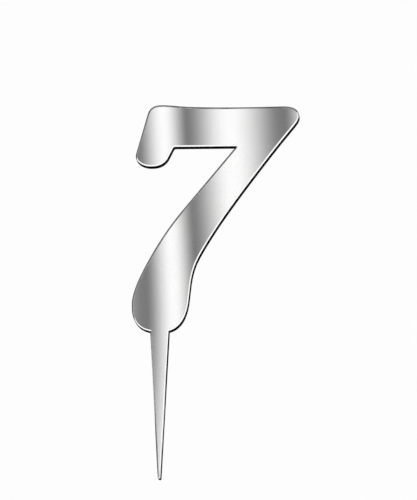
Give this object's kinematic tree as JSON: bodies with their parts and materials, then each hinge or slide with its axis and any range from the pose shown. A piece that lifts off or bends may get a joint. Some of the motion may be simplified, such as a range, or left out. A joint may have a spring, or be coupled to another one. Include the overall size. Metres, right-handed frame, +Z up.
{
  "type": "number cake topper",
  "caption": "Flat mirror-silver numeral seven with a tapered spike below it, cut from a laminate with a chamfered clear face and a black back, to stand upright in the top of a cake.",
  "frame": {"origin": "centre of the spike, halfway through the thickness, where the spike leaves the numeral: the level of the cake's surface", "axes": "+X to the numeral's right, +Y out of the back, +Z up; the mirror front faces -Y"},
  "size_m": [0.0502, 0.003, 0.1142],
  "materials": {
    "clear_acrylic": "clear polished cast acrylic, chamfered and flame polished at the rim",
    "silver_mirror": "vacuum metallised silver mirror film",
    "adhesive": "soft translucent laminating adhesive",
    "black_acrylic": "gloss black acrylic, satin on its cut edge"
  },
  "bodies": {
    "root": {"clear_face_sheet": "clear_acrylic", "mirror_film": "silver_mirror", "adhesive_film": "adhesive", "black_backing_sheet": "black_acrylic"}
  },
  "joints": []
}
